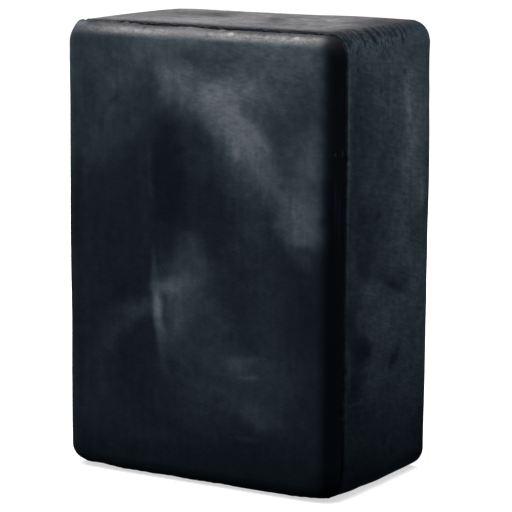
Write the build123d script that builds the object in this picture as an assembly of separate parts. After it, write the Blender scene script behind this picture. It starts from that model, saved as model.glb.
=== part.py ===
from build123d import *
import os

# A pressed charcoal drawing block, standing on its bottom end.
# Millimetres: X is the width, Z is the height, and the drawing face looks towards -Y.
# A thin facing slab is bonded to a thick rear block. The rear block stands a little
# proud of the slab all round, and the binder film between them is set back from the
# outline, so the joint shows as a fine dark groove with a step beside it.

block_width = 64.0  # rear block, outside
block_height = 92.0  # rear block, outside
outline_radius = 4.3  # upright and lying corners, seen from the drawing face

slab_thickness = 3.2  # facing slab, drawing face to its bonded side
film_thickness = 0.2  # dried binder between the two
rear_thickness = 34.0  # rear block, bonded side to back

slab_setback = 0.45  # how far the slab's outline lies inside the rear block's
film_setback = 0.8  # how far the film's edge lies inside the slab's outline

face_round = 3.0  # rubbed round edge of the drawing face
rear_round = 0.5  # softened edge at the back
joint_break = 0.12  # edge break of the rear block beside the joint
round_land = 0.1  # least flat left between a rounded edge and what limits it

block_thickness = slab_thickness + film_thickness + rear_thickness
front_y = -block_thickness / 2
film_y = front_y + slab_thickness
rear_y = film_y + film_thickness
middle_z = block_height / 2


def outline_slab(start_y, thickness, setback):
    """A plate in the block's outline, inset by a setback, from start_y towards the back."""
    width = block_width - 2 * setback
    height = block_height - 2 * setback
    radius = outline_radius - setback
    front = Plane(origin=(0, start_y, middle_z), x_dir=(1, 0, 0), z_dir=(0, -1, 0))
    return extrude(front * RectangleRounded(width, height, radius), amount=-thickness)


def round_edges(plate, side_y, radius, room):
    """Rounds the edges that run round the plate's flat side at side_y."""
    fitting_radius = min(radius, room - round_land)
    edges = plate.edges().filter_by_position(Axis.Y, side_y - round_land / 2, side_y + round_land / 2)
    return fillet(edges, fitting_radius)


def make_face_slab():
    slab = outline_slab(front_y, slab_thickness, slab_setback)
    room = min(slab_thickness, outline_radius - slab_setback)
    return round_edges(slab, front_y, face_round, room)


def make_binder_film():
    return outline_slab(film_y, film_thickness, slab_setback + film_setback)


def make_rear_block():
    rear = outline_slab(rear_y, rear_thickness, 0)
    back_y = rear_y + rear_thickness
    rear = round_edges(rear, back_y, rear_round, outline_radius)
    return round_edges(rear, rear_y, joint_break, slab_setback)


makers = {
    "face_slab": make_face_slab,
    "binder_film": make_binder_film,
    "rear_block": make_rear_block,
}

os.makedirs("parts", exist_ok=True)
for node, make in makers.items():
    piece = make()
    piece.label = node
    export_step(piece, f"parts/{node}.step")
    print(node, "volume", round(piece.volume), "mm3")
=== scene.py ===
import math
import random

import bpy
import numpy as np
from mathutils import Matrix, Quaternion, Vector, noise


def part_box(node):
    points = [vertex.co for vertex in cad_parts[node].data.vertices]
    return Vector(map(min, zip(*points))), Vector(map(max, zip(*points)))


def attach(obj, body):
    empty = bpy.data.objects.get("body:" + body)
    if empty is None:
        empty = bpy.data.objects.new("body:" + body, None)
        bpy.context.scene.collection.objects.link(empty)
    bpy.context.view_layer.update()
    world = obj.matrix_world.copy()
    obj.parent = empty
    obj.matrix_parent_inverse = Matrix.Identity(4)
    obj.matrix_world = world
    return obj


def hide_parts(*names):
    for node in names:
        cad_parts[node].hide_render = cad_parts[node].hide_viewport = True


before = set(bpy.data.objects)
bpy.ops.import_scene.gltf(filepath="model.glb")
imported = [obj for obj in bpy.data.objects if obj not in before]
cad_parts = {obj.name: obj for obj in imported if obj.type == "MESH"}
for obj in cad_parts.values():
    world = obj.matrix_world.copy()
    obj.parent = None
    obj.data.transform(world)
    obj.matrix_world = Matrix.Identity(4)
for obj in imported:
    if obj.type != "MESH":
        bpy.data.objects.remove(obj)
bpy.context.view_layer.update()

# A pressed charcoal drawing block, standing on its end on a pale table.
# The frame is in metres; the settings below are in millimetres and degrees.
mm = 0.001
slabLow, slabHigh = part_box("face_slab")
rearLow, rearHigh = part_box("rear_block")


def hexToLinear(code):
    channels = [int(code[i:i + 2], 16) / 255 for i in (1, 3, 5)]
    return [c / 12.92 if c <= 0.04045 else ((c + 0.055) / 1.055) ** 2.4 for c in channels] + [1.0]


def addNode(tree, kind, settings, links=None):
    # settings hold properties by name, socket values by name or number, and the stops of a colour ramp
    node = tree.nodes.new(kind)
    for key, value in settings.items():
        if key == "stops":
            elements = node.color_ramp.elements
            while len(elements) < len(value):
                elements.new(1.0)
            for element, (position, code) in zip(elements, value):
                element.position = position
                element.color = hexToLinear(code)
        elif isinstance(key, str) and hasattr(node, key):
            setattr(node, key, value)
        else:
            node.inputs[key].default_value = value
    for key, socket in (links or {}).items():
        tree.links.new(socket, node.inputs[key])
    return node


# Meshes: a dense closed block whose outline corners and edges are round


def outlinePosition(x, z, core, radius, inset):
    # carries points of a sharp rectangle to the rounded outline, inset by a distance
    coreX, coreZ = np.clip(x, -core[0], core[0]), np.clip(z, -core[1], core[1])
    awayX, awayZ = x - coreX, z - coreZ
    reach = np.hypot(awayX, awayZ)
    stretch = np.where(reach > 0, (radius - inset) / np.where(reach > 0, reach, 1), 0)
    return coreX + awayX * stretch, coreZ + awayZ * stretch


def blockMesh(name, low, high, shape):
    halfX, halfZ = (high.x - low.x) / 2, (high.z - low.z) / 2
    centreX, centreZ = (high.x + low.x) / 2, (high.z + low.z) / 2
    radius = shape["outlineRadius"] * mm
    core = (halfX - radius, halfZ - radius)
    countX, countZ = (round(2 * half / (shape["cell"] * mm)) for half in (halfX, halfZ))
    lineX, lineZ = np.linspace(-halfX, halfX, countX + 1), np.linspace(-halfZ, halfZ, countZ + 1)
    loop = [(i, 0) for i in range(countX)] + [(countX, j) for j in range(countZ)]
    loop += [(i, countZ) for i in range(countX, 0, -1)] + [(0, j) for j in range(countZ, 0, -1)]
    loopX, loopZ = np.array([lineX[i] for i, j in loop]), np.array([lineZ[j] for i, j in loop])
    vertices, faces, rings = [], [], []
    quarter, eighth = math.pi / 2, math.pi / 4  # of a full turn
    fewRows = 3  # rows round a small edge

    def addGrid(edgeRound, faceY, inward):
        # a flat side as a full grid; inward is 1 at the front and -1 at the back
        gridX, gridZ = np.meshgrid(lineX, lineZ, indexing="ij")
        gap = np.minimum(halfX - np.abs(gridX), halfZ - np.abs(gridZ))
        angle = eighth * (1 - np.clip(gap / edgeRound, 0, 1))
        inset = np.where(gap < edgeRound, edgeRound * (1 - np.sin(angle)), gap)
        roundX, roundZ = outlinePosition(gridX, gridZ, core, radius, inset)
        inner = gap >= radius
        roundX[inner], roundZ[inner] = gridX[inner], gridZ[inner]
        roundY = faceY + inward * edgeRound * (1 - np.cos(angle))
        start, wide = len(vertices), countZ + 1
        vertices.extend(zip((roundX + centreX).ravel(), roundY.ravel(), (roundZ + centreZ).ravel()))
        for i in range(countX):
            for j in range(countZ):
                corner = start + i * wide + j
                quad = (corner, corner + wide, corner + wide + 1, corner + 1)
                faces.append(quad if inward > 0 else quad[::-1])
        rings.append([start + i * wide + j for i, j in loop])

    def addRing(inset, y):
        start = len(vertices)
        ringX, ringZ = outlinePosition(loopX, loopZ, core, radius, inset)
        vertices.extend((x + centreX, y, z + centreZ) for x, z in zip(ringX, ringZ))
        rings.append(list(range(start, start + len(loop))))

    def addRound(edgeRound, faceY, inward, angles):
        for angle in angles:
            addRing(edgeRound * (1 - math.sin(angle)), faceY + inward * edgeRound * (1 - math.cos(angle)))

    # from front to back: the front side, its edge, the four sides, the back edge and the back side
    frontRound, backRound, rowStep = (shape[key] * mm for key in ("frontRound", "backRound", "rowStep"))
    if shape["frontGrid"]:
        frontRows = max(fewRows, round(frontRound * eighth / rowStep))
        addGrid(frontRound, low.y, 1)
        addRound(frontRound, low.y, 1, np.linspace(eighth, quarter, frontRows)[1:])
    else:
        for inset in shape["frontRings"]:
            addRing(inset * mm, low.y)
        faces.append(tuple(rings[0]))
        addRound(frontRound, low.y, 1, np.linspace(0, quarter, fewRows))
    sideStart, sideEnd = low.y + frontRound, high.y - backRound
    sideSteps = max(1, round((sideEnd - sideStart) / rowStep))
    for y in np.linspace(sideStart, sideEnd, sideSteps + 1)[1:]:
        addRing(0, y)
    if shape["backGrid"]:
        addRound(backRound, high.y, -1, np.linspace(quarter, eighth, fewRows)[1:-1])
        addGrid(backRound, high.y, -1)
    else:
        addRound(backRound, high.y, -1, np.linspace(quarter, 0, fewRows)[1:])
        for inset in shape["backRings"]:
            addRing(inset * mm, high.y)
        faces.append(tuple(rings[-1][::-1]))
    for first, second in zip(rings, rings[1:]):
        for k in range(len(loop)):
            following = (k + 1) % len(loop)
            faces.append((first[k], second[k], second[following], first[following]))

    mesh = bpy.data.meshes.new(name)
    mesh.from_pydata(vertices, [], faces)
    mesh.polygons.foreach_set("use_smooth", [True] * len(mesh.polygons))
    piece = bpy.data.objects.new(name, mesh)
    bpy.context.scene.collection.objects.link(piece)
    print("mesh", name, len(vertices), "points", sum(len(face) - 2 for face in faces), "triangles")
    return piece


hillShape = (0.9, 2.1)  # how fast the finer hills get lower, and how much finer each octave is


def unevenness(point, layers):
    # layers of hills, each with its size across, its height and its octaves
    return sum(height * noise.fractal(point / (size * mm), *hillShape, octaves)
               for size, height, octaves in layers)


def easing(value, start, end):
    share = min(max((value - start) / (end - start), 0), 1)
    return share * share * (3 - 2 * share)


def scatterChips(low, high, chips):
    # chip centres along the outline at the joint, most of them on the top edge
    dice = random.Random(chips["seed"])
    centres = []
    for k in range(chips["count"]):
        radius = dice.uniform(*chips["radius"])
        if dice.random() < chips["shareOnTop"]:
            place = Vector((dice.uniform(low.x, high.x) * chips["topSpan"], chips["y"], high.z))
        else:
            side = dice.choice((low.x, high.x))
            place = Vector((side, chips["y"], dice.uniform(low.z, high.z)))
        centres.append((place, radius * mm, radius * chips["depth"]))
    return centres


def scatterDents(low, high, dents):
    # shallow knocks spread over the sides, the back and the ends
    dice = random.Random(dents["seed"])
    centres = []
    for k in range(dents["count"]):
        place = Vector([dice.uniform(a, b) for a, b in zip(low, high)])
        end = dice.choice(dents["ends"])
        place["xyz".index(end[0])] = (low if end[1] == "-" else high)["xyz".index(end[0])]
        centres.append((place, dice.uniform(*dents["radius"]) * mm, dice.uniform(*dents["depth"])))
    return centres


def hollows(point, centres):
    # how deep the round hollows are at a point
    depth = 0
    for place, radius, deepest in centres:
        away = (point - place).length_squared / (radius * radius)
        if away < 1:
            depth += deepest * (1 - away) ** 2
    return depth


# a point this near the joint lies in its face, and this much lean in its normal puts it on the outline
jointSet = {"band": 0.15, "leastLean": 0.1}


def pressRelief(piece, relief, joint):
    # moves each point along its normal, but in the joint's face only the outline moves, sideways alone;
    # the fine part is kept as an attribute for the material
    mesh = piece.data
    places = np.empty(len(mesh.vertices) * 3)
    normals = np.empty(len(mesh.vertices) * 3)
    mesh.vertices.foreach_get("co", places)
    mesh.vertex_normals.foreach_get("vector", normals)
    places, normals = places.reshape(-1, 3), normals.reshape(-1, 3)
    fine = np.zeros(len(places))
    for k, (place, normal) in enumerate(zip(places, normals)):
        height, fine[k] = relief(Vector(place))
        if abs(place[1] - joint) < jointSet["band"] * mm:
            lean = math.hypot(normal[0], normal[2])
            outward = np.array((normal[0], 0, normal[2]))
            normal = outward / lean if lean > jointSet["leastLean"] else np.zeros(3)
        places[k] = place + normal * height * mm
    mesh.vertices.foreach_set("co", places.ravel())
    attribute = mesh.attributes.new("fineRelief", "FLOAT", "POINT")
    attribute.data.foreach_set("value", fine)
    mesh.update()


# Drawing-face slab

slabSet = {
    "shape": {
        "outlineRadius": 4.0, "cell": 0.32, "rowStep": 0.32, "frontRound": 3.0, "backRound": 0.08,
        "frontGrid": True, "backGrid": False, "backRings": [1.6, 2.4],
    },
    "layers": [(24, 0.10, 2), (6, 0.02, 2), (1.6, 0.006, 2)],  # size across, height, octaves
    "lip": [(7, 0.09, 2), (1.5, 0.08, 2)],  # the same, for the strip along the joint
    "lipWidth": 0.8,
    "raggedTop": 1.1,  # how much more uneven the lip is along the top
    # along the top the joint's left end is packed flush and the rest of the lip is worn:
    # the height, the width, and where it sets in along x and z
    "flush": {"height": 0.4, "width": 1.8, "x": (-25, -11), "z": (86, 91)},
    "wornLip": {"height": -0.2, "width": 0.9, "x": (-20, -10), "z": (86, 91)},
    "chips": {
        "seed": 4, "count": 40, "radius": (0.35, 1.0), "depth": 0.4, "shareOnTop": 0.7,
        "topSpan": 0.94,  # the share of the top edge that they can fall on
    },
    "chipRow": 0.2,  # how far in front of the joint they sit
    # worn places: x and z, reach and depth; below 0 it is a swelling
    "worn": [
        ((31, -0.5), 8, 0.8), ((-27, -0.5), 6, 0.4), ((-31.5, 91.5), 6, 0.03), ((-32, 44), 17, -0.15),
    ],
    # crumbs on the top edge: x, distance behind the face and z, reach and depth; below 0 it stands proud
    "edgeCrumbs": [
        ((-28.6, 3.1, 91.4), 2.8, -0.32), ((7.2, 1.0, 90.8), 0.7, -0.09), ((22.0, 1.0, 90.7), 0.75, -0.1),
        ((-4.0, 1.9, 91.2), 0.6, 0.07), ((14.5, 1.4, 91.0), 0.8, 0.06), ((2.0, 0.5, 90.2), 0.9, 0.05),
        ((-13.0, 1.5, 91.1), 0.8, 0.06),
    ],
}


def slabRelief():
    chipRow = slabHigh.y - slabSet["chipRow"] * mm
    centres = scatterChips(slabLow, slabHigh, dict(slabSet["chips"], y=chipRow))
    centres += [(Vector((x * mm, slabLow.y + behind * mm, z * mm)), reach * mm, depth)
                for (x, behind, z), reach, depth in slabSet["edgeCrumbs"]]
    flush, wornLip = slabSet["flush"], slabSet["wornLip"]
    flushStart, wornStart, lipStart = (
        slabHigh.y - width * mm for width in (flush["width"], wornLip["width"], slabSet["lipWidth"]))

    def relief(point):
        height = unevenness(point, slabSet["layers"])
        for (x, z), reach, depth in slabSet["worn"]:
            away = math.hypot(point.x / mm - x, point.z / mm - z) / reach
            height -= depth * (1 - away * away) ** 2 if away < 1 else 0
        packed = easing(point.z / mm, *flush["z"]) * (1 - easing(point.x / mm, *flush["x"]))
        height += flush["height"] * packed * easing(point.y, flushStart, slabHigh.y)
        rubbed = easing(point.z / mm, *wornLip["z"]) * easing(point.x / mm, *wornLip["x"])
        height += wornLip["height"] * rubbed * easing(point.y, wornStart, slabHigh.y)
        nearLip = easing(point.y, lipStart, slabHigh.y)
        nearLip *= 1 + slabSet["raggedTop"] * easing(point.z / mm, *flush["z"])
        fine = nearLip * unevenness(point, slabSet["lip"]) - hollows(point, centres)
        return height + fine, fine
    return relief


faceSlab = blockMesh("faceSlab", slabLow, slabHigh, slabSet["shape"])
pressRelief(faceSlab, slabRelief(), slabHigh.y)

# Rear block

rearSet = {
    "shape": {
        "outlineRadius": 4.3, "cell": 0.55, "rowStep": 0.285, "frontRound": 0.12, "backRound": 0.5,
        "frontGrid": False, "backGrid": True, "frontRings": [3.0, 2.2],
    },
    "layers": [(26, 0.12, 2), (7, 0.03, 2), (1.8, 0.012, 2)],  # size across, height, octaves
    "lip": [(6, 0.11, 2), (1.5, 0.13, 2)],  # the same, for the strip along the joint
    "lipWidth": 1.1,
    "chips": {
        "seed": 9, "count": 54, "radius": (0.35, 1.1), "depth": 0.36, "shareOnTop": 0.75,
        "topSpan": 0.94,
    },
    "dents": {
        "seed": 21, "count": 46, "radius": (0.6, 1.9), "depth": (0.03, 0.11),
        "ends": ["x-", "x+", "y+", "z+", "z-"],
    },
    "curls": [  # place, reach and depth of small knocks on the right side; below 0 it stands proud
        ((32, -11.4, 84.6), 0.8, 0.13), ((32, -10.4, 83.4), 0.7, 0.11), ((32, -11.9, 82.8), 0.55, 0.1),
        ((32, -11.1, 83.9), 0.45, -0.08), ((32, -1.5, 79.2), 0.7, -0.07), ((32, -3.8, 77.0), 0.5, 0.08),
    ],
    "swellings": [  # place, reach and height; below 0 the place is worn
        ((32, 18.7, 62), 15, 0.2), ((32, 18.7, 86), 9, -0.12), ((32, 18.7, 4), 20, -0.13),
        ((18, 18.7, 92), 16, 0.17), ((31, 18.7, 92), 8, 0.08), ((-30, 18.7, 92), 8, -0.18),
        ((30.5, -15.3, 0), 8.5, -0.7), ((32, 8, 92), 5, 0.1),
        ((31, -6, 0), 9, -0.3), ((-26, -15.3, 0), 7, -0.35), ((-31, -15.3, 91), 6, -0.1),
    ],
    "ripples": {
        "seed": 5, "count": 20, "pitch": 1.62, "firstY": 1.0, "width": 0.36, "depth": 0.22,
        "middle": -1.0, "reach": 2.8, "slant": 0.3,  # along the outline from the corner's middle
        "pitchStray": 0.34, "middleStray": 0.9,  # strays of one groove: a share of the pitch, and mm
        "reachSpread": (0.6, 1.5), "widthSpread": (0.8, 1.2), "depthSpread": (0.5, 1.2),
        "fadeStart": 20, "fadeEnd": 30, "fadeBy": 0.7,  # behind the joint, and the share lost there
        "sway": 0.5, "swayNoise": (0.5, 0.4, 3.1),  # swing; noise steps along and behind, and its slice
        "farthest": 1.5, "cornerReach": 5,  # nothing is left of a groove beyond these distances
    },
    "wrinkles": {
        "depth": 0.16, "size": 0.9, "stretch": 0.62, "line": 0.2, "lean": 0.35, "slice": 7.7,
        "start": (-4.5, -1.5), "end": (1.5, 8),  # where they come and go along the outline
        "fadeStart": 14, "fadeEnd": 28, "fadeBy": 0.75,
    },
}


def rippleRings():
    # grooves that the press left round the upper right corner, each with its own place, length and depth
    ripples = rearSet["ripples"]
    dice = random.Random(ripples["seed"])
    pitchStray, middleStray = ripples["pitchStray"], ripples["middleStray"]
    rings = []
    for k in range(ripples["count"]):
        y = ripples["firstY"] + ripples["pitch"] * (k + dice.uniform(-pitchStray, pitchStray))
        ring = {"y": y, "middle": ripples["middle"] + dice.uniform(-middleStray, middleStray)}
        for key in ("reach", "width", "depth"):
            ring[key] = ripples[key] * dice.uniform(*ripples[key + "Spread"])
        ring["depth"] *= 1 - ripples["fadeBy"] * easing(y, ripples["fadeStart"], ripples["fadeEnd"])
        rings.append(ring)
    return rings


def rippleDepth():
    ripples, wrinkles = rearSet["ripples"], rearSet["wrinkles"]
    rings = rippleRings()
    radius = rearSet["shape"]["outlineRadius"]
    halfArc = radius * math.pi / 4
    hub = Vector((rearHigh.x - radius * mm, 0, rearHigh.z - radius * mm))
    swayAlong, swayBehind, swaySlice = ripples["swayNoise"]

    def depth(point):
        armX, armZ, behind = (point.x - hub.x) / mm, (point.z - hub.z) / mm, (point.y - rearLow.y) / mm
        if min(armX, armZ) < -ripples["cornerReach"]:
            return 0
        # the distance along the outline from the corner's middle is less than 0 on the top end
        if armX > 0 and armZ > 0:
            along = radius * (math.pi / 4 - math.atan2(armZ, armX))
        else:
            along = halfArc - armZ if armZ < 0 else armX - halfArc
        sway = ripples["sway"] * noise.noise(Vector((along * swayAlong, behind * swayBehind, swaySlice)))
        total = 0
        for ring in rings:
            offset = behind - ring["y"] + ripples["slant"] * (along - ring["middle"]) - sway
            if abs(offset) < ripples["farthest"]:
                window = max(0, 1 - ((along - ring["middle"]) / ring["reach"]) ** 2)
                total += ring["depth"] * window * math.exp(-(offset / ring["width"]) ** 2)
        # fine wrinkles run where slow noise crosses zero, and fade out down the side and towards the back
        spot = Vector((along * wrinkles["stretch"], behind + wrinkles["lean"] * along, wrinkles["slice"]))
        line = max(0, 1 - abs(noise.noise(spot / wrinkles["size"])) / wrinkles["line"])
        spread = easing(along, *wrinkles["start"]) * (1 - easing(along, *wrinkles["end"]))
        spread *= 1 - wrinkles["fadeBy"] * easing(behind, wrinkles["fadeStart"], wrinkles["fadeEnd"])
        return total + wrinkles["depth"] * spread * line
    return depth


def rearRelief():
    centres = scatterChips(rearLow, rearHigh, dict(rearSet["chips"], y=rearLow.y))
    dents = scatterDents(rearLow, rearHigh, rearSet["dents"])
    dents += [(Vector(place) * mm, reach * mm, depth) for place, reach, depth in rearSet["curls"]]
    swellings = [(Vector(place) * mm, reach * mm, -height)
                 for place, reach, height in rearSet["swellings"]]
    ripples = rippleDepth()
    lipWidth = rearSet["lipWidth"] * mm

    def relief(point):
        height = unevenness(point, rearSet["layers"]) - hollows(point, swellings)
        nearLip = easing(rearLow.y + lipWidth - point.y, 0, lipWidth)
        fine = nearLip * unevenness(point, rearSet["lip"]) - ripples(point)
        fine -= hollows(point, centres) + hollows(point, dents)
        return height + fine, fine
    return relief


rearBlock = blockMesh("rearBlock", rearLow, rearHigh, rearSet["shape"])
pressRelief(rearBlock, rearRelief(), rearLow.y)
print("relief pressed into both blocks")

# Materials
# They work in millimetres of the block. A tone says how pale a place looks from its pale dust and from
# painted light and shade, and a ramp turns the tone into colour. Lists of numbers are read in these
# orders:
# smudge: centre across and up one side, half width, half height, turn, tone, strength, softness
# mottle: patch length along x, y and z, turn about x, y and z, factors of dark and pale patches, octaves
# fade: what it follows, where it starts and ends, and the factors at both ends
# Where there is no tone yet, the first fade or mottle gives the tone itself.

alongX, alongY, alongZ = (1, 0, 0), (0, 1, 0), (0, 0, 1)
slabFront, rearBack = slabLow.y / mm, rearHigh.y / mm
sideSet = {
    "front": {"corner": (0, slabFront, 0), "across": alongX, "up": alongZ, "axis": (0, -1, 0)},
    "right": {"corner": (rearHigh.x / mm, slabFront, 0), "across": alongY, "up": alongZ, "axis": alongX},
    "top": {"corner": (0, slabFront, rearHigh.z / mm), "across": alongX, "up": alongY, "axis": alongZ},
    "left": {"corner": (rearLow.x / mm, slabFront, 0), "across": alongY, "up": alongZ, "axis": alongX},
    "back": {"corner": (0, rearBack, 0), "across": alongX, "up": alongZ, "axis": (0, -1, 0)},
    "foot": {"corner": (0, slabFront, 0), "across": alongX, "up": alongY, "axis": alongZ},
}
smudgeDepth = 6  # how far a smudge reaches through the block
noiseMiddle, noiseSpan = 0.5, (0.3, 0.7)  # nearly all of the noise lies in the span
toneRamp = [
    (0.0, "#010306"), (0.033, "#040a10"), (0.077, "#121920"), (0.118, "#1e272e"), (0.197, "#354147"),
    (0.265, "#4a555b"), (0.354, "#696f76"), (0.45, "#898b90"),
]
litGreyRamp = [
    (0.0, "#040406"), (0.2, "#151517"), (0.3, "#29282a"), (0.4, "#3b3a3c"), (0.5, "#4d4c4e"),
    (0.6, "#5e5d5f"), (0.8, "#828183"),
]


def readPlace(tree):
    # where a point is, in millimetres
    coordinates = addNode(tree, "ShaderNodeTexCoord", {})
    return addNode(tree, "ShaderNodeVectorMath", {"operation": "SCALE", "Scale": 1 / mm},
                   {0: coordinates.outputs["Object"]}).outputs[0]


def readSurface(tree, place):
    # what fades can follow: where a point is, the way that it faces, and its fine relief
    spot = addNode(tree, "ShaderNodeSeparateXYZ", {}, {0: place})
    coordinates = addNode(tree, "ShaderNodeTexCoord", {})
    facing = addNode(tree, "ShaderNodeSeparateXYZ", {}, {0: coordinates.outputs["Normal"]})
    relief = addNode(tree, "ShaderNodeAttribute", {"attribute_name": "fineRelief"})
    return {
        "x": spot.outputs["X"], "z": spot.outputs["Z"], "relief": relief.outputs["Fac"],
        "right": facing.outputs["X"], "behind": facing.outputs["Y"], "upward": facing.outputs["Z"],
    }


def strayPlace(tree, place, layers):
    # shifts every point by slow noise, each layer with its size across and its full swing
    for size, swing in layers:
        stray = addNode(tree, "ShaderNodeTexNoise", {"Scale": 1 / size, "Detail": 1.0}, {"Vector": place})
        centred = addNode(tree, "ShaderNodeVectorMath", {"operation": "SUBTRACT", 1: (noiseMiddle,) * 3},
                          {0: stray.outputs["Color"]})
        place = addNode(tree, "ShaderNodeVectorMath", {"operation": "MULTIPLY_ADD", 1: (swing,) * 3},
                        {0: centred.outputs[0], 2: place}).outputs[0]
    return place


def patches(tree, place, size, turn, low, high, octaves):
    # noise with its own patch length along each axis, carried to the range low to high
    stretched = addNode(tree, "ShaderNodeMapping", {
        "vector_type": "TEXTURE", "Rotation": [math.radians(angle) for angle in turn], "Scale": size,
    }, {"Vector": place})
    clouds = addNode(tree, "ShaderNodeTexNoise", {"Scale": 1.0, "Detail": octaves},
                     {"Vector": stretched.outputs[0]})
    return addNode(tree, "ShaderNodeMapRange", {
        "clamp": False, "From Min": noiseSpan[0], "From Max": noiseSpan[1], "To Min": low, "To Max": high,
    }, {"Value": clouds.outputs["Fac"]}).outputs[0]


def mottleTone(tree, tone, place, mottles):
    for mottle in mottles:
        factor = patches(tree, place, *mottle)
        if tone:
            factor = addNode(tree, "ShaderNodeMath", {"operation": "MULTIPLY"},
                             {0: tone, 1: factor}).outputs[0]
        tone = factor
    return tone


def fadeTone(tree, tone, sources, fades):
    for source, start, end, low, high in fades:
        factor = addNode(tree, "ShaderNodeMapRange", {
            "interpolation_type": "SMOOTHSTEP",
            "From Min": start, "From Max": end, "To Min": low, "To Max": high,
        }, {"Value": sources[source]}).outputs[0]
        if tone:
            factor = addNode(tree, "ShaderNodeMath", {"operation": "MULTIPLY"},
                             {0: tone, 1: factor}).outputs[0]
        tone = factor
    return tone


def paintSmudges(tree, tone, place, side, smudges):
    corner, across, up, axis = (Vector(sideSet[side][key]) for key in ("corner", "across", "up", "axis"))
    through = (Vector((1, 1, 1)) - across - up) * smudgeDepth
    for a, b, halfAcross, halfUp, turn, aim, strength, softness in smudges:
        reach = 1 / (1 - softness / 2)  # so the half sizes are where a smudge has faded to a half
        centre = corner + across * a + up * b
        shrink = Vector([1 / size for size in (across * halfAcross + up * halfUp) * reach + through])
        turned = addNode(tree, "ShaderNodeVectorRotate", {
            "rotation_type": "AXIS_ANGLE", "Center": centre, "Axis": axis, "Angle": -math.radians(turn),
        }, {"Vector": place}).outputs[0] if turn else place
        patch = addNode(tree, "ShaderNodeVectorMath", {
            "operation": "MULTIPLY_ADD", 1: shrink, 2: [-c * s for c, s in zip(centre, shrink)],
        }, {0: turned})
        away = addNode(tree, "ShaderNodeVectorMath", {"operation": "LENGTH"}, {0: patch.outputs[0]})
        cover = addNode(tree, "ShaderNodeMapRange", {
            "interpolation_type": "SMOOTHSTEP",
            "From Min": 1 - softness, "From Max": 1, "To Min": strength, "To Max": 0,
        }, {"Value": away.outputs["Value"]})
        tone = addNode(tree, "ShaderNodeMix", {"data_type": "FLOAT", 3: aim},
                       {0: cover.outputs[0], 2: tone}).outputs[0]
    return tone


handlingSet = {"halfWidth": (2, 9), "halfHeight": (3, 12), "turn": (-40, 40), "strength": (0.5, 0.9)}


def scatterSmudges(seed, count, width, height, tones):
    # smudges of handling for a side that has none of its own, as soft as they can be
    dice = random.Random(seed)
    spans = [width, height, handlingSet["halfWidth"], handlingSet["halfHeight"], handlingSet["turn"]]
    spans += [tones, handlingSet["strength"]]
    return [[dice.uniform(*span) for span in spans] + [1] for k in range(count)]


# The powder is ground finer than 0.1 mm; its grain is drawn at 0.35 mm, so that it shows
powderSet = {"ior": 1.5, "specular": 0.06, "dustyTone": 0.4, "grain": 0.35, "grainOctaves": 3.0}


def finishCharcoal(tree, place, tone, colour, finish):
    # dusty places are rougher than rubbed ones, and the grain of the powder roughens both
    roughness = addNode(tree, "ShaderNodeMapRange", {
        "From Min": 0.0, "From Max": powderSet["dustyTone"],
        "To Min": finish["rubbedRough"], "To Max": finish["dustyRough"],
    }, {"Value": tone})
    grain = patches(tree, place, (powderSet["grain"],) * 3, (0, 0, 0), 0, 1, powderSet["grainOctaves"])
    bump = addNode(tree, "ShaderNodeBump", {"Strength": 1.0, "Distance": finish["grainDepth"] * mm},
                   {"Height": grain})
    shader = addNode(tree, "ShaderNodeBsdfPrincipled", {
        "IOR": powderSet["ior"], "Specular IOR Level": powderSet["specular"],
    }, {"Base Color": colour, "Roughness": roughness.outputs[0], "Normal": bump.outputs[0]})
    addNode(tree, "ShaderNodeOutputMaterial", {}, {"Surface": shader.outputs[0]})


def emptyMaterial(name):
    material = bpy.data.materials.new(name)
    material.use_nodes = True
    material.node_tree.nodes.clear()
    return material, material.node_tree
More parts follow.
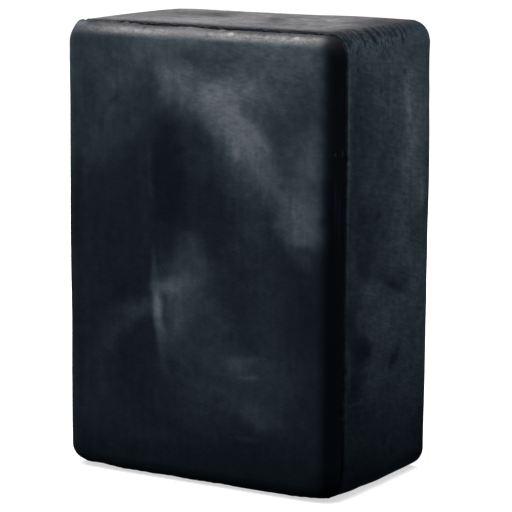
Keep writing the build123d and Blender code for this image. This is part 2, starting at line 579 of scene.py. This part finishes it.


# Rubbed willow charcoal: ground charcoal pressed flat and then handled, so a blue-black body with a low,
# soft sheen shows through hazy veils of its own pale dust, partly painted reflection, fine wipes cross
# it, its right edge is burnished and painted near black with shade, and its top edge carries a painted
# highlight
rubbedSet = {
    "base": [("looseZ", 58, 70, 0.088, 0.158), ("looseZ", 70, 92, 1, 1.25)],  # darker below, paler above: partly a veil of dust, partly painted shade of light falling off downwards
    "stray": [(7, 5.0), (2, 1.6), (0.8, 0.5)],
    "nearbyStray": [(9, 1.2), (0.8, 0.3)],
    # veils of pale dust on the front, partly painted reflection of the lamps
    "clouds": [
        (-18, 86, 6, 6, 0, 0.205, 0.7, 1), (16, 86, 9, 7, 0, 0.255, 0.9, 1),
        (25.5, 88.5, 3.5, 2.5, 0, 0.28, 0.9, 1), (-10, 88, 5, 4.5, 0, 0.27, 0.9, 1),
        (-2, 90, 7, 3, 0, 0.29, 0.9, 1), (4, 85, 5, 2.2, -5, 0.215, 0.9, 1),
        (-5, 81, 4.2, 3.2, -25, 0.325, 0.95, 0.9), (-3, 78.5, 3.5, 2.6, -35, 0.31, 0.8, 1),
        (5.5, 76.8, 6.5, 3.8, -30, 0.358, 1, 0.9), (9.5, 79.5, 5, 3, -10, 0.36, 0.85, 1),
        (3, 83, 2.4, 1.8, 0, 0.21, 0.85, 1), (9.5, 70.5, 4.5, 5, 25, 0.36, 1, 0.9),
        (12.5, 67, 4, 4.5, 25, 0.34, 0.9, 1), (15, 62.3, 4, 4, -35, 0.275, 0.9, 1),
        (19, 71, 2.8, 5, 0, 0.18, 0.9, 1), (25.3, 66, 3.4, 6, 0, 0.27, 0.9, 1),
        (14.6, 76, 2.4, 2.4, 0, 0.245, 0.8, 1), (18, 77, 2.2, 2.2, 0, 0.24, 0.7, 1),
        (-27.5, 86, 4, 6.5, 0, 0.165, 0.8, 1), (18, 89, 7, 1.8, 0, 0.31, 0.7, 1),
        (-2, 88.5, 6, 1.6, 0, 0.29, 0.6, 1), (-20.5, 78.5, 3.5, 4.5, -20, 0.215, 0.6, 1),
        (-13.5, 76, 3, 5, -35, 0.155, 0.75, 1), (-11, 79, 2.0, 4.5, -12, 0.155, 0.8, 1),
        (-8, 57, 13.5, 15.6, -45, 0.098, 0.85, 0.4), (-6.5, 62, 4.4, 10.5, 0, 0.073, 0.95, 0.6),
        (-8.7, 71.5, 2.2, 2.8, 0, 0.08, 0.8, 1), (0.5, 66.2, 4.4, 3.4, 0, 0.125, 0.85, 0.8),
        (-2, 71, 2.6, 1.6, 0, 0.12, 0.7, 1), (-12.3, 57, 1.2, 9, 0, 0.12, 0.7, 1),
        (13.5, 53, 5, 7, 0, 0.145, 0.9, 1), (16, 42, 6, 8, 0, 0.132, 0.85, 1),
        (9, 62, 3, 3, -20, 0.18, 0.7, 1), (24, 56.5, 4.2, 6.6, 0, 0.275, 1, 0.8),
        (19, 60.5, 3, 2.6, -30, 0.245, 0.8, 1), (27, 59, 2, 4, 0, 0.19, 0.7, 1),
        (3.5, 24, 12, 11, 0, 0.14, 0.9, 0.7), (0.5, 37, 7.5, 10, 0, 0.152, 0.9, 1),
        (-5.2, 36.5, 2.8, 5, 0, 0.22, 0.9, 1), (-1.5, 38.5, 3, 3, 0, 0.205, 0.7, 1),
        (-2.5, 42.8, 5, 3, 15, 0.225, 0.9, 1), (-1, 47, 3, 3.5, 0, 0.185, 0.9, 1),
        (17, 24, 6, 8, 0, 0.148, 0.9, 1), (10.5, 38, 2.5, 8, 0, 0.11, 0.9, 1),
        (11, 31, 3, 2.2, 0, 0.105, 0.8, 1), (10.5, 26, 4.5, 2.8, 0, 0.185, 0.9, 1),
        (14, 16.8, 4.5, 3, 0, 0.16, 0.9, 1), (7, 13.5, 4, 3, 0, 0.088, 0.7, 1),
        (-24, 23, 4, 11, 0, 0.122, 0.9, 1), (-13.5, 35, 4.5, 1.8, 14, 0.17, 0.85, 1),
        (-19, 30.8, 4, 1.8, 38, 0.138, 0.85, 1), (-22.5, 26.5, 4, 1.8, 60, 0.13, 0.8, 1),
        (-24.5, 48, 1.4, 12, 0, 0.105, 0.7, 1), (17, 5, 15, 6, 0, 0.06, 0.75, 1),
    ],
    "marks": [
        (-5.6, 40.4, 3.7, 1.4, 12, 0.29, 0.9, 1), (-9.0, 34.7, 0.95, 5.6, 7, 0.35, 0.95, 1),
        (-9.9, 43, 0.5, 3.8, 2, 0.18, 0.8, 1), (-8.0, 27.5, 0.8, 4.5, 8, 0.155, 0.8, 1),
        (9.6, 26, 1.6, 1.5, 0, 0.225, 0.8, 1), (12.2, 23.5, 2.2, 0.45, 4, 0.225, 0.8, 1),
        (12.6, 27.3, 2.4, 0.45, 12, 0.2, 0.7, 1), (11.6, 11.2, 2.2, 0.5, 0, 0.125, 0.8, 1),
        (-10.9, 66, 0.5, 8, 0, 0.14, 0.6, 1), (23.5, 49.8, 4.5, 0.8, 0, 0.12, 0.7, 1),
        (-27.5, 32, 3.6, 28, 0, 0.085, 0.6, 1), (-19.8, 76, 0.6, 3.6, -42, 0.135, 0.6, 1),
        (-26.4, 62, 0.9, 26, 0, 0.15, 0.25, 1),
    ],
    "wipes": {
        "upright": ((1.1, 1.1, 14), (0, 0, 0), 0.93, 1.07, 3.0),
        "level": ((1.4, 1.4, 0.5), (0, 8, 0), 0.915, 1.085, 3.0),
    },
    "levelShare": [("x", -12, 3, 0, 1), ("looseZ", 66, 80, 0.3, 1)],  # the upper right's wipes are level
    "mottles": [
        ((16, 16, 16), (0, 0, 0), 0.93, 1.07, 2.0), ((1.5, 1.5, 1.5), (0, 0, 0), 0.92, 1.08, 3.0),
        ((3.4, 3.4, 2.2), (0, 25, 0), 0.94, 1.06, 2.0),
    ],
    # fades along z; then painted shade where the surface turns up and painted light where it turns down
    "fades": [
        ("z", 0, 92, 1.06, 0.95), ("z", 0, 11, 0.78, 1), ("z", 84, 89.5, 1, 0.93),
        ("upward", 0.0, 0.15, 1, 0.9), ("upward", -0.8, -0.05, 2.3, 1),
    ],
    "reliefShadeFades": [("relief", -0.12, 0.0, 0.5, 1), ("relief", 0.0, 0.1, 1, 1.2)],  # painted shade in the hollows, painted light on the crests
    # the right edge: burnished, and painted near black with shade
    "burnishAndShade": [("x", 26.8, 31.0, 1, 0.15)],
    "darkest": 0.03,
    "specks": [  # crumbs and fine scratches on the dark right edge
        (0.9, 69, 0.16, 0.35, 0, 0.15, 1, 1), (2.3, 69.2, 0.2, 0.55, 0, 0.13, 1, 1),
        (1.0, 60, 0.14, 4.5, 1.5, 0.085, 0.8, 1), (1.7, 57, 0.14, 3.5, 0, 0.08, 0.8, 1),
    ],
    # the top edge, with a painted highlight in pale grey
    "edgeHighlightBase": [
        ("upward", 0.7, 0.96, 0.655, 0.355), ("x", -31, -15, 0.68, 1), ("x", 22, 28, 1, 0.88),
        ("x", 27.3, 31.2, 1, 0.45),
    ],
    "edgeMottles": [
        ((2.2, 1.0, 1.0), (0, 0, 0), 0.91, 1.08, 3.0), ((0.55, 0.55, 0.55), (0, 0, 0), 0.89, 1.1, 2.0),
    ],
    "edgeMarks": [
        (7.2, 90.8, 0.6, 0.3, 0, 0.85, 1, 1), (22.0, 90.7, 0.6, 0.3, 0, 0.75, 1, 1),
        (4.5, 91.5, 0.7, 0.4, 0, 0.7, 0.8, 1), (-2.5, 91, 4, 1.6, 0, 0.58, 0.8, 1),
    ],
    "edgeHighlightShare": [("upward", 0.18, 0.62, 0, 1), ("x", -32, -21, 0.4, 1), ("x", 27, 30.5, 1, 0.6)],
    "finish": {"rubbedRough": 0.75, "dustyRough": 0.85, "grainDepth": 0.02},
}


def rubbedCharcoal():
    material, tree = emptyMaterial("rubbed willow charcoal")
    place = readPlace(tree)
    sources = readSurface(tree, place)
    loose = strayPlace(tree, place, rubbedSet["stray"])
    nearby = strayPlace(tree, place, rubbedSet["nearbyStray"])
    sources["looseZ"] = addNode(tree, "ShaderNodeSeparateXYZ", {}, {0: loose}).outputs["Z"]
    tone = fadeTone(tree, None, sources, rubbedSet["base"])
    tone = paintSmudges(tree, tone, loose, "front", rubbedSet["clouds"])
    tone = paintSmudges(tree, tone, nearby, "front", rubbedSet["marks"])
    upright, level = (patches(tree, nearby, *rubbedSet["wipes"][key]) for key in ("upright", "level"))
    share = fadeTone(tree, None, sources, rubbedSet["levelShare"])
    wiped = addNode(tree, "ShaderNodeMix", {"data_type": "FLOAT"}, {0: share, 2: upright, 3: level})
    tone = addNode(tree, "ShaderNodeMath", {"operation": "MULTIPLY"},
                   {0: tone, 1: wiped.outputs[0]}).outputs[0]
    tone = mottleTone(tree, tone, place, rubbedSet["mottles"])
    # painted shade in the hollows and on the right edge, painted light on the crests
    worn = rubbedSet["reliefShadeFades"] + rubbedSet["burnishAndShade"]
    tone = fadeTone(tree, tone, sources, rubbedSet["fades"] + worn)
    tone = addNode(tree, "ShaderNodeMath", {"operation": "MAXIMUM", 1: rubbedSet["darkest"]},
                   {0: tone}).outputs[0]
    tone = paintSmudges(tree, tone, place, "right", rubbedSet["specks"])
    # the tone's colour: dust, partly painted reflection, and painted light and shade
    dusty = addNode(tree, "ShaderNodeValToRGB", {"stops": toneRamp}, {"Fac": tone})
    # the round of the top edge carries a painted highlight, pale to halfway round and darker from there
    # to the joint
    edge = fadeTone(tree, None, sources, rubbedSet["edgeHighlightBase"])
    edge = mottleTone(tree, edge, nearby, rubbedSet["edgeMottles"])
    edge = paintSmudges(tree, edge, place, "front", rubbedSet["edgeMarks"])
    edge = fadeTone(tree, edge, sources, worn)
    highlightGrey = addNode(tree, "ShaderNodeValToRGB", {"stops": litGreyRamp}, {"Fac": edge})
    onEdge = fadeTone(tree, None, sources, rubbedSet["edgeHighlightShare"])
    colour = addNode(tree, "ShaderNodeMix", {"data_type": "RGBA"},
                     {0: onEdge, 6: dusty.outputs["Color"], 7: highlightGrey.outputs["Color"]})
    finishCharcoal(tree, place, tone, colour.outputs[2], rubbedSet["finish"])
    return material


# Pressed willow charcoal: the same powder pressed in a mould and left drier and dustier, so its sides
# are a greyer blue-black with fine slanting press strokes, and its top end is a neutral grey, partly dust
# and partly painted light from above
pressedSet = {
    "stray": [(7, 5.0), (2, 1.6), (0.8, 0.5)],
    "nearbyStray": [(9, 1.2), (0.8, 0.3)],
    # darker below, paler above and towards the back; the fall to the bottom is partly painted shade of
    # light falling off downwards
    "base": [("looseZ", -2, 30, 0.048, 0.13), ("looseZ", 62, 96, 1, 1.34), ("looseY", -12, 8, 1, 1.22)],
    "right": [
        (12.5, 88.5, 8, 4, 0, 0.225, 0.8, 1), (28, 62, 5.5, 18, 0, 0.215, 0.85, 1),
        (8.5, 62, 3, 14, 0, 0.125, 0.8, 1), (8, 76, 3, 6, 0, 0.128, 0.8, 1),
        (10.5, 52, 5, 5, 0, 0.108, 0.8, 1), (13, 63.5, 2.5, 4, 0, 0.178, 0.8, 1),
        (17, 80, 3, 8, 0, 0.19, 0.7, 1), (33.5, 74, 2.6, 9, 0, 0.215, 0.8, 1),
        (32.8, 49, 1.8, 6, 20, 0.152, 0.8, 1), (21, 64.5, 3, 3, 0, 0.14, 0.7, 1),
        (16, 35.5, 6, 4, 0, 0.165, 0.8, 1), (25, 34, 9, 5, 0, 0.172, 0.9, 1),
        (10, 46, 3.5, 2, -10, 0.1, 0.9, 1), (23, 41, 6.5, 2.6, -15, 0.118, 0.9, 1),
        (13.5, 41, 4.5, 2.2, -15, 0.185, 0.95, 0.9), (32, 40, 2.5, 4, 0, 0.185, 0.8, 1),
        (5.5, 36, 2.4, 5, 0, 0.082, 0.85, 1), (9.5, 29.8, 3.6, 2.6, -25, 0.072, 0.95, 0.8),
        (12.3, 28.2, 1.6, 1.6, 0, 0.08, 0.8, 1), (7, 22, 4, 5.5, 0, 0.068, 0.85, 1),
        (16, 24.5, 3.6, 3.2, 0, 0.148, 0.8, 1), (28, 27, 6, 5, 0, 0.145, 0.8, 1),
        (23.4, 25, 1.5, 2.1, -25, 0.082, 0.95, 0.9), (6, 47, 1.5, 3, 0, 0.145, 0.8, 1),
        (8, 15, 5, 4, 0, 0.08, 0.7, 1),
    ],
    "rightMarks": [
        (28.3, 78, 2.2, 4.2, -3, 0.262, 0.95, 1), (29.5, 69.5, 2.4, 6, 0, 0.262, 0.9, 1),
        (31.5, 60, 1.5, 5, 0, 0.235, 0.8, 1), (34, 58, 1.3, 2.6, 0, 0.275, 0.9, 1),
        (5.0, 27.5, 0.45, 5, 0, 0.135, 0.8, 1), (7, 19.1, 3, 0.35, 0, 0.125, 0.8, 1),
        (3.9, 73, 0.65, 15, 0, 0.2, 0.85, 1), (6.4, 70, 0.6, 8, 0, 0.105, 0.6, 1),
        (20.5, 79, 0.5, 5, 0, 0.22, 0.6, 1), (10.3, 17, 0.4, 4, 0, 0.115, 0.6, 1),
        (22.5, 40.4, 4, 0.5, -18, 0.09, 0.7, 1),
    ],
    # the sides out of sight: seed, count, where across and up, tones
    "left": scatterSmudges(31, 11, (4, 36), (6, 88), (0.08, 0.2)),
    "back": scatterSmudges(47, 16, (-29, 29), (6, 88), (0.075, 0.21)),
    "foot": scatterSmudges(53, 5, (-26, 26), (4, 34), (0.08, 0.17)),
    "lipDust": [(-28.2, 3.4, 3.6, 2, 0, 0.42, 1, 1)],  # on the joint's edge at its left end
    "mottles": [
        ((2.4, 2.4, 0.55), (-14, 0, 0), 0.86, 1.14, 3.0), ((1.3, 1.3, 12), (0, 0, 0), 0.965, 1.035, 2.0),
        ((3.6, 3.6, 3.0), (0, 0, 0), 0.92, 1.08, 2.0),
        ((1.4, 1.4, 1.4), (0, 0, 0), 0.93, 1.07, 3.0), ((12, 12, 12), (0, 0, 0), 0.94, 1.06, 2.0),
    ],
    # painted shade in the hollows and painted light on the crests
    "reliefShadeFades": [("relief", -0.18, -0.01, 0.4, 1), ("relief", 0.0, 0.1, 1, 1.2)],
    # painted light and shade by the way the surface faces: darker as it turns up, paler as it turns down
    "fades": [
        ("upward", 0.0, 0.35, 1.17, 0.88), ("upward", 0.35, 0.8, 1, 0.62), ("upward", -0.8, -0.1, 2.2, 1),
    ],
    "jointShadeFades": [("behind", -0.95, -0.55, 0.6, 1)],  # painted shade where it faces the joint
    "darkest": 0.03,
    "rightShare": [("right", 0.2, 0.8, 0, 1)],
    # the top end, a neutral grey that is partly dust and partly painted light from above
    "endBase": [((16, 16, 16), (0, 0, 0), 0.47, 0.51, 2.0)],
    "top": [
        (-20, 36, 8, 2, 0, 0.62, 0.8, 1), (-28, 24, 4, 7, 0, 0.44, 0.7, 1),
        (19, 31, 4, 3, 0, 0.56, 0.6, 1), (-17, 27, 10, 5, -8, 0.41, 0.9, 1),
        (-11, 25.5, 4.8, 2.6, -38, 0.3, 0.9, 1), (4.5, 22, 6.5, 1.6, -62, 0.36, 0.95, 1),
        (3.5, 31, 3.5, 2.5, 0, 0.44, 0.7, 1), (-3, 18, 6, 4, 0, 0.555, 0.7, 1),
        (15, 28, 3.5, 3, 0, 0.58, 0.8, 1), (9, 25, 1.8, 2.4, 0, 0.57, 0.7, 1),
        (-10, 12, 8, 3.5, 0, 0.565, 0.8, 1), (13, 12, 8, 3, 0, 0.44, 0.8, 1),
        (-19, 9, 6, 2.5, 0, 0.55, 0.8, 1), (23, 20, 3.5, 2.2, 0, 0.54, 0.7, 1),
        (31.2, 29, 10.5, 11, 12, 0.275, 0.95, 0.6), (30, 12, 5, 13, 0, 0.31, 0.9, 0.9),
        (22.3, 27, 2.2, 2, 0, 0.4, 0.7, 1), (31.5, 31, 3, 6, 0, 0.2, 0.7, 1),
    ],
    "endMottles": [
        ((14, 4, 4), (0, 0, 8), 0.92, 1.08, 2.0), ((2.2, 1.6, 1.4), (0, 0, 4), 0.87, 1.13, 3.0),
        ((0.7, 0.7, 0.7), (0, 0, 0), 0.86, 1.14, 2.0),
    ],
    # a ragged strip of painted shade behind the joint, with dust in it at the left end
    "lipStray": [(1.3, 4.0), (0.6, 1.5)],
    "lipShade": [("lipY", rearLow.y / mm - 0.4, rearLow.y / mm + 5.0, 0.5, 1)],
    "lipFilled": [(-28, 6, 5, 4, 0, 0.54, 0.9, 1)],
    "endShare": [("upward", 0.6, 0.98, 0, 1), ("looseX", 25, 31, 1, 0.25)],
    "finish": {"rubbedRough": 0.55, "dustyRough": 0.85, "grainDepth": 0.025},
}


def pressedCharcoal():
    material, tree = emptyMaterial("pressed willow charcoal")
    place = readPlace(tree)
    sources = readSurface(tree, place)
    loose = strayPlace(tree, place, pressedSet["stray"])
    nearby = strayPlace(tree, place, pressedSet["nearbyStray"])
    spot = addNode(tree, "ShaderNodeSeparateXYZ", {}, {0: loose})
    sources.update({"loose" + axis: spot.outputs[axis] for axis in "XYZ"})
    bare = fadeTone(tree, None, sources, pressedSet["base"])
    right = paintSmudges(tree, bare, loose, "right", pressedSet["right"])
    right = paintSmudges(tree, right, nearby, "right", pressedSet["rightMarks"])
    others = bare
    for side in ("left", "back", "foot"):
        others = paintSmudges(tree, others, loose, side, pressedSet[side])
    others = paintSmudges(tree, others, place, "top", pressedSet["lipDust"])
    onRight = fadeTone(tree, None, sources, pressedSet["rightShare"])
    tone = addNode(tree, "ShaderNodeMix", {"data_type": "FLOAT"},
                   {0: onRight, 2: others, 3: right}).outputs[0]
    tone = mottleTone(tree, tone, nearby, pressedSet["mottles"])
    fades = pressedSet["fades"] + pressedSet["jointShadeFades"] + pressedSet["reliefShadeFades"]
    tone = fadeTone(tree, tone, sources, fades)
    tone = addNode(tree, "ShaderNodeMath", {"operation": "MAXIMUM", 1: pressedSet["darkest"]},
                   {0: tone}).outputs[0]
    # the tone's colour: dust with painted light and shade
    dusty = addNode(tree, "ShaderNodeValToRGB", {"stops": toneRamp}, {"Fac": tone})
    ragged = strayPlace(tree, place, pressedSet["lipStray"])
    sources["lipY"] = addNode(tree, "ShaderNodeSeparateXYZ", {}, {0: ragged}).outputs["Y"]
    # the top end's grey is partly painted light from above, with painted shade behind the joint
    end = mottleTone(tree, None, place, pressedSet["endBase"])
    end = fadeTone(tree, end, sources, pressedSet["lipShade"])
    end = paintSmudges(tree, end, nearby, "top", pressedSet["lipFilled"] + pressedSet["top"])
    end = mottleTone(tree, end, nearby, pressedSet["endMottles"])
    end = fadeTone(tree, end, sources, pressedSet["reliefShadeFades"] + pressedSet["jointShadeFades"])
    litEndGrey = addNode(tree, "ShaderNodeValToRGB", {"stops": litGreyRamp}, {"Fac": end})
    onEnd = fadeTone(tree, None, sources, pressedSet["endShare"])
    colour = addNode(tree, "ShaderNodeMix", {"data_type": "RGBA"},
                     {0: onEnd, 6: dusty.outputs["Color"], 7: litEndGrey.outputs["Color"]})
    finishCharcoal(tree, place, tone, colour.outputs[2], pressedSet["finish"])
    return material


# Dried plant gum full of charcoal dust: a dull black line in the joint, with pale dust at its left end
binderSet = {
    "base": [((0.8, 0.8, 0.8), (0, 0, 0), 0.05, 0.1, 2.0)],
    "filled": [(-30, 3.3, 7, 3, 0, 0.35, 0.9, 1)],
    "finish": {"rubbedRough": 0.7, "dustyRough": 0.9, "grainDepth": 0.02},
}


def driedBinder():
    material, tree = emptyMaterial("dried gum binder")
    place = readPlace(tree)
    tone = mottleTone(tree, None, place, binderSet["base"])
    tone = paintSmudges(tree, tone, place, "top", binderSet["filled"])
    colour = addNode(tree, "ShaderNodeValToRGB", {"stops": toneRamp}, {"Fac": tone})
    finishCharcoal(tree, place, tone, colour.outputs["Color"], binderSet["finish"])
    return material


faceSlab.data.materials.append(rubbedCharcoal())
rearBlock.data.materials.append(pressedCharcoal())
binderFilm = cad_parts["binder_film"]
binderFilm.data.materials.clear()
binderFilm.data.materials.append(driedBinder())
print("materials made")

standIns = [(faceSlab, "face_slab", "rubbed_charcoal"), (rearBlock, "rear_block", "pressed_charcoal")]
for piece, node, slot in standIns:
    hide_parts(node)
    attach(piece, "root")

# Table, light and camera

stageSet = {
    "floorSize": 4000, "floorColour": "#c8c8c8", "floorGlow": (0.6, 1.0), "glowReach": (60, 300),
    "roomColour": "#f0f6ff", "roomLight": 0.02, "backdropColour": "#ffffff", "backdropLight": 1.0,
}
lightSet = {
    "topSoftbox": {
        "place": (-40, -60, 480), "aim": (0, 0, 60), "size": (760, 620),
        "power": 8.0, "colour": "#ffffff",
    },
    "leftSoftbox": {
        "place": (-700, -300, 240), "aim": (0, 0, 50), "size": (300, 400),
        "power": 2.0, "colour": "#eef4ff",
    },
    "rightSoftbox": {
        "place": (600, 260, 260), "aim": (0, 0, 60), "size": (350, 350),
        "power": 1.0, "colour": "#eef4ff",
    },
    "backCard": {
        "place": (-420, 700, 180), "aim": (0, 0, 92), "size": (900, 300),
        "power": 1.0, "colour": "#ffffff",
    },
}
cameraSet = {
    "azimuth": 31.054, "elevation": 10.104, "roll": 0.244, "distance": 517.3, "lens": 180.05,
    "aimBehindFace": 14.0, "aimHeight": 44.685, "aimRight": 4.549, "sensor": 36, "clip": (10, 20000),
}


def makeFloor():
    # a white table that glows more with distance, so it meets the white room without a line
    half = stageSet["floorSize"] * mm / 2
    corners = [(-half, -half, 0), (half, -half, 0), (half, half, 0), (-half, half, 0)]
    mesh = bpy.data.meshes.new("table")
    mesh.from_pydata(corners, [], [(0, 1, 2, 3)])
    floor = bpy.data.objects.new("table", mesh)
    bpy.context.scene.collection.objects.link(floor)
    material, tree = emptyMaterial("matt white table")
    away = addNode(tree, "ShaderNodeVectorMath", {"operation": "LENGTH"}, {0: readPlace(tree)})
    glow = fadeTone(tree, None, {"away": away.outputs["Value"]},
                    [("away", *stageSet["glowReach"], *stageSet["floorGlow"])])
    lit = addNode(tree, "ShaderNodeBsdfDiffuse", {"Color": hexToLinear(stageSet["floorColour"])})
    glowing = addNode(tree, "ShaderNodeEmission", {}, {"Strength": glow})
    both = addNode(tree, "ShaderNodeAddShader", {}, {0: lit.outputs[0], 1: glowing.outputs[0]})
    addNode(tree, "ShaderNodeOutputMaterial", {}, {"Surface": both.outputs[0]})
    mesh.materials.append(material)
    floor.visible_diffuse = False
    floor.visible_glossy = False


def makeWorld():
    world = bpy.data.worlds.new("studio")
    world.use_nodes = True
    bpy.context.scene.world = world
    tree = world.node_tree
    tree.nodes.clear()
    path = addNode(tree, "ShaderNodeLightPath", {})
    room, backdrop = (addNode(tree, "ShaderNodeBackground", {
        "Color": hexToLinear(stageSet[name + "Colour"]), "Strength": stageSet[name + "Light"],
    }) for name in ("room", "backdrop"))
    both = addNode(tree, "ShaderNodeMixShader", {},
                   {0: path.outputs["Is Camera Ray"], 1: room.outputs[0], 2: backdrop.outputs[0]})
    addNode(tree, "ShaderNodeOutputWorld", {}, {0: both.outputs[0]})


def makeLights():
    for name, light in lightSet.items():
        lamp = bpy.data.lights.new(name, "AREA")
        lamp.shape = "RECTANGLE"
        lamp.size, lamp.size_y = light["size"][0] * mm, light["size"][1] * mm
        lamp.energy = light["power"]
        lamp.color = hexToLinear(light["colour"])[:3]
        holder = bpy.data.objects.new(name, lamp)
        holder.location = Vector(light["place"]) * mm
        holder.rotation_mode = "QUATERNION"
        beam = Vector(light["aim"]) * mm - holder.location
        holder.rotation_quaternion = beam.to_track_quat("-Z", "Y")
        holder.visible_camera = False
        bpy.context.scene.collection.objects.link(holder)


def makeCamera():
    turn, tilt = math.radians(cameraSet["azimuth"]), math.radians(cameraSet["elevation"])
    back = Vector((math.sin(turn) * math.cos(tilt), -math.cos(turn) * math.cos(tilt), math.sin(tilt)))
    right = Vector((math.cos(turn), math.sin(turn), 0))
    aim = Vector((0, slabLow.y + cameraSet["aimBehindFace"] * mm, cameraSet["aimHeight"] * mm))
    aim += right * cameraSet["aimRight"] * mm
    lens = bpy.data.cameras.new("camera")
    lens.lens = cameraSet["lens"]
    lens.sensor_width = cameraSet["sensor"]
    lens.clip_start, lens.clip_end = (reach * mm for reach in cameraSet["clip"])
    camera = bpy.data.objects.new("camera", lens)
    camera.location = aim + back * cameraSet["distance"] * mm
    camera.rotation_mode = "QUATERNION"
    roll = Quaternion((0, 0, 1), math.radians(cameraSet["roll"]))
    camera.rotation_quaternion = (-back).to_track_quat("-Z", "Y") @ roll
    bpy.context.scene.collection.objects.link(camera)
    bpy.context.scene.camera = camera


makeFloor()
makeWorld()
makeLights()
makeCamera()
bpy.context.scene.view_settings.view_transform = "Standard"
print("table, lights and camera set")
